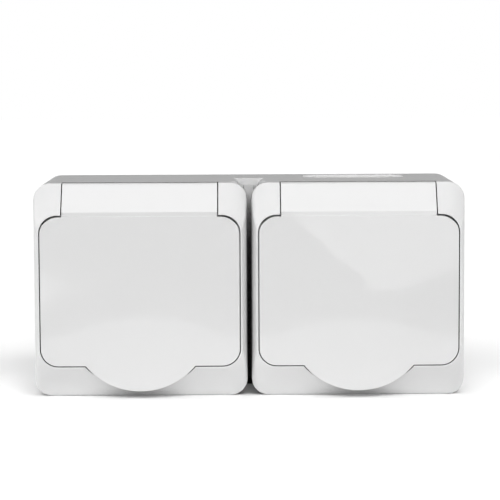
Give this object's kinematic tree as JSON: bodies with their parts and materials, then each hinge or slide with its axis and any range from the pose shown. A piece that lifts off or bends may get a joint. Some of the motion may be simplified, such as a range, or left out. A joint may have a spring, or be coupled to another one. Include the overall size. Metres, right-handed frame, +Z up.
{
  "type": "outdoor twin socket outlet",
  "caption": "Surface-mounted weatherproof outlet: two earthed two-pin wells side by side, each behind a sprung hinged lid with a thumb tab, on one back box.",
  "frame": {"origin": "centre of the back box's rear face, on the wall", "axes": "+X to the viewer's right, +Z up, lids face -Y; +Y points into the wall"},
  "size_m": [0.1516, 0.057, 0.0754],
  "materials": {
    "box": "fine matt, white",
    "cover": "fine matt, white",
    "lid": "satin, white",
    "well": "satin, white",
    "base": "matt, light grey",
    "seal": "matt, grey",
    "membrane": "matt, pale grey",
    "contact": "drawn",
    "earth": "tinned",
    "screw": "zinc-plated",
    "clamp": "zinc-plated",
    "pin": "stainless, bright",
    "spring": "stainless, bright"
  },
  "bodies": {
    "housing": {"back_box": "box", "cable_seal": "membrane", "cover_left": "cover", "cover_seal_left": "seal", "socket_well_left": "well", "contact_base_left": "base", "live_contact_left": "contact", "neutral_contact_left": "contact", "earth_strap_left": "earth", "cover_screws_left": "screw", "terminal_screws_left": "clamp", "well_screw_left": "screw", "hinge_pin_left": "pin", "hinge_spring_left": "spring", "cover_right": "cover", "cover_seal_right": "seal", "socket_well_right": "well", "contact_base_right": "base", "live_contact_right": "contact", "neutral_contact_right": "contact", "earth_strap_right": "earth", "cover_screws_right": "screw", "terminal_screws_right": "clamp", "well_screw_right": "screw", "hinge_pin_right": "pin", "hinge_spring_right": "spring"},
    "lid_left_body": {"lid_left": "lid", "lid_seal_left": "seal"},
    "lid_right_body": {"lid_right": "lid", "lid_seal_right": "seal"}
  },
  "joints": [
    {"name": "lid_left_hinge", "type": "hinge", "parent": "housing", "child": "lid_left_body", "pos_m": [-0.03825, -0.0488, 0.03205], "axis": [-1, 0, 0], "range_deg": [0, 110], "stiffness_Nm_per_rad": 0.02, "springref_deg": -34.38, "deforming": ["hinge_spring_left"]},
    {"name": "lid_right_hinge", "type": "hinge", "parent": "housing", "child": "lid_right_body", "pos_m": [0.03825, -0.0488, 0.03205], "axis": [-1, 0, 0], "range_deg": [0, 110], "stiffness_Nm_per_rad": 0.02, "springref_deg": -34.38, "deforming": ["hinge_spring_right"]}
  ]
}
